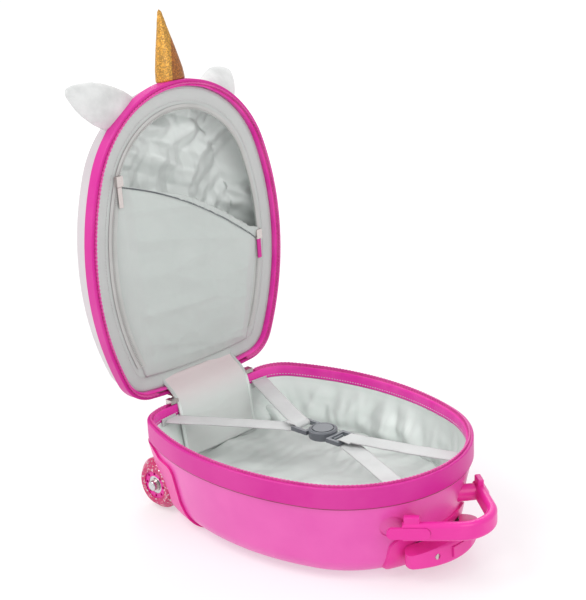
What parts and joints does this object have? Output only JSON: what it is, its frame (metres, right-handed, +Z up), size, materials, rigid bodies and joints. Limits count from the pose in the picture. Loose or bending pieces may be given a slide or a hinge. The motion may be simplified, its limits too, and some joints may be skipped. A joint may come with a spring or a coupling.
{
  "type": "ride on suitcase",
  "caption": "Egg-shaped child's wheeled ride-on case, open: hinged lid with pocket, horn and ears, skate wheels, carry bow and pull-out handle.",
  "frame": {"origin": "middle of the rim outline, on the plane of the flat underside that the case lies on", "axes": "+X from the hinge end to the rounded handle end, +Y to the left, +Z up"},
  "size_m": [0.5102, 0.303, 0.5801],
  "materials": {
    "pink_shell": "satin moulded shell, hot pink",
    "pink_trim": "moulded rim trim, deeper hot pink",
    "pink_gloss": "moulded boot and handles, hot pink",
    "white_shell": "white moulded lid",
    "lining": "thin grey-green lining cloth",
    "pocket_cloth": "thin grey-green lining cloth",
    "binding": "stitched pink binding tape",
    "zip_dark": "dark pink coil zip",
    "zip_grey": "grey zip tape",
    "metal": "plated metal",
    "steel": "steel",
    "tube": "drawn aluminium tube",
    "tyre": "clear polyurethane with glitter",
    "webbing": "white woven webbing",
    "buckle_grey": "grey plastic",
    "hinge_cloth": "pale piped cloth",
    "hinge_red": "dark red woven tape",
    "gold": "gold glitter fabric, stuffed",
    "plush": "white fabric, stuffed",
    "board": "stiff plastic board",
    "grey_plastic": "dark grey plastic"
  },
  "bodies": {
    "base": {"base_shell": "pink_shell", "base_band": "pink_trim", "base_binding": "binding", "base_zip_chain": "zip_dark", "base_lining": "lining", "floor_board": "board", "end_boot": "pink_gloss", "boot_screws": "steel", "axle_left": "metal", "axle_right": "metal", "axle_washers": "metal", "outer_tube_left": "tube", "outer_tube_right": "tube", "tube_foot": "grey_plastic", "nose_plate": "pink_gloss", "carry_bow": "pink_gloss", "handle_mounts": "pink_gloss", "handle_plates": "pink_gloss", "handle_screws": "metal", "hinge_panel": "hinge_cloth", "hinge_tape": "hinge_red", "hinge_piping": "hinge_red", "rear_straps": "webbing", "front_strap_left": "webbing", "front_strap_right": "webbing", "strap_anchors": "webbing", "buckle_socket": "buckle_grey", "zip_sliders": "metal"},
    "lid": {"lid_shell": "white_shell", "lid_band": "pink_trim", "lid_binding": "binding", "lid_zip_chain": "zip_dark", "lid_lining": "pocket_cloth", "pocket_surround": "lining", "pocket_zip": "zip_grey", "pocket_flap": "lining", "pocket_sliders": "metal", "horn": "gold", "ear_left": "plush", "ear_right": "plush"},
    "wheel_left": {"tyre_left": "tyre", "wheel_hub_left": "pink_gloss", "bearings_left": "steel"},
    "wheel_right": {"tyre_right": "tyre", "wheel_hub_right": "pink_gloss", "bearings_right": "steel"},
    "pull_middle": {"middle_tube_left": "tube", "middle_tube_right": "tube"},
    "pull_grip": {"inner_tube_left": "tube", "inner_tube_right": "tube", "grip_top": "pink_gloss", "grip_base": "pink_gloss", "grip_screws": "metal"},
    "release_button": {"release_button": "pink_gloss"},
    "buckle_tongue": {"buckle_tongue": "buckle_grey"},
    "buckle_button": {"buckle_button": "buckle_grey"},
    "zip_pull_left": {"zip_pull_left": "metal"},
    "zip_pull_right": {"zip_pull_right": "metal"},
    "pocket_pull_left": {"pocket_pull_left": "pink_trim"},
    "pocket_pull_right": {"pocket_pull_right": "metal"}
  },
  "joints": [
    {"name": "lid_hinge", "type": "hinge", "parent": "base", "child": "lid", "pos_m": [-0.19, 0, 0.123], "axis": [0, 1, 0], "range_deg": [0, 91], "deforming": ["hinge_panel", "hinge_tape"]},
    {"name": "wheel_left_spin", "type": "hinge", "parent": "base", "child": "wheel_left", "pos_m": [-0.1704, 0.099, 0.0322], "axis": [0, 1, 0], "continuous": true},
    {"name": "wheel_right_spin", "type": "hinge", "parent": "base", "child": "wheel_right", "pos_m": [-0.1704, -0.099, 0.0322], "axis": [0, 1, 0], "continuous": true},
    {"name": "pull_first_stage", "type": "slide", "parent": "base", "child": "pull_middle", "axis": [1, 0, 0], "range_m": [0, 0.15]},
    {"name": "pull_second_stage", "type": "slide", "parent": "pull_middle", "child": "pull_grip", "axis": [1, 0, 0], "range_m": [0, 0.15]},
    {"name": "release_press", "type": "slide", "parent": "pull_grip", "child": "release_button", "axis": [-1, 0, 0], "range_m": [0, 0.0025], "stiffness_N_per_m": 400},
    {"name": "buckle_release", "type": "slide", "parent": "base", "child": "buckle_tongue", "axis": [1, 0, 0], "range_m": [0, 0.022], "deforming": ["front_strap_left", "front_strap_right"]},
    {"name": "buckle_press", "type": "slide", "parent": "base", "child": "buckle_button", "axis": [0, 0, -1], "range_m": [0, 0.0015], "stiffness_N_per_m": 400},
    {"name": "zip_pull_left_swing", "type": "hinge", "parent": "base", "child": "zip_pull_left", "pos_m": [-0.19, 0.063, 0.123], "axis": [0, 1, 0], "range_deg": [0, 80]},
    {"name": "zip_pull_right_swing", "type": "hinge", "parent": "base", "child": "zip_pull_right", "pos_m": [-0.19, -0.063, 0.123], "axis": [0, 1, 0], "range_deg": [0, 80]},
    {"name": "pocket_pull_left_swing", "type": "hinge", "parent": "lid", "child": "pocket_pull_left", "pos_m": [-0.2002, 0.1153, 0.28065], "axis": [0, 1, 0], "range_deg": [-80, 0]},
    {"name": "pocket_pull_right_swing", "type": "hinge", "parent": "lid", "child": "pocket_pull_right", "pos_m": [-0.20216, -0.0983, 0.39263], "axis": [0, 1, 0], "range_deg": [-80, 0]}
  ]
}
